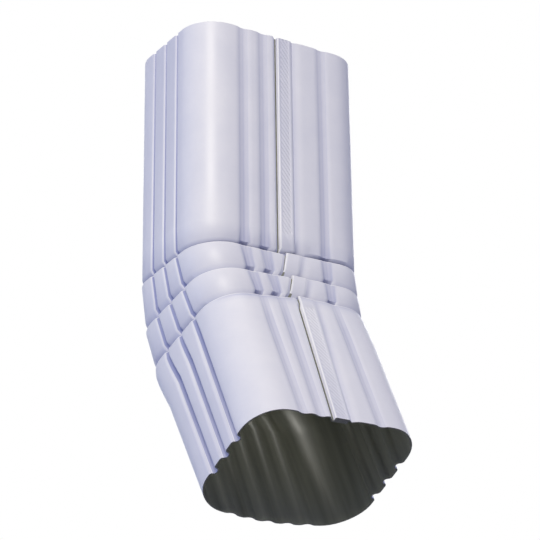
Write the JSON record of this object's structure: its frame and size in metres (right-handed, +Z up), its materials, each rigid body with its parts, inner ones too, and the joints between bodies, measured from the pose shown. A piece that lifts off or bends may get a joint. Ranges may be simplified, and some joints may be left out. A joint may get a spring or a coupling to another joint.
{
  "type": "downspout elbow",
  "caption": "Corrugated rectangular downspout elbow of painted sheet metal, lock-seamed and pleated at the bend, turning roof water away from the wall.",
  "frame": {"origin": "centre of the inlet's top rim", "axes": "+Z up along the inlet run, +X across the wide faces, -Y the seamed front that the outlet turns towards"},
  "size_m": [0.0826, 0.0981, 0.2095],
  "materials": {
    "white_paint": "satin baked paint"
  },
  "bodies": {
    "root": {"elbow": "white_paint"}
  },
  "joints": []
}
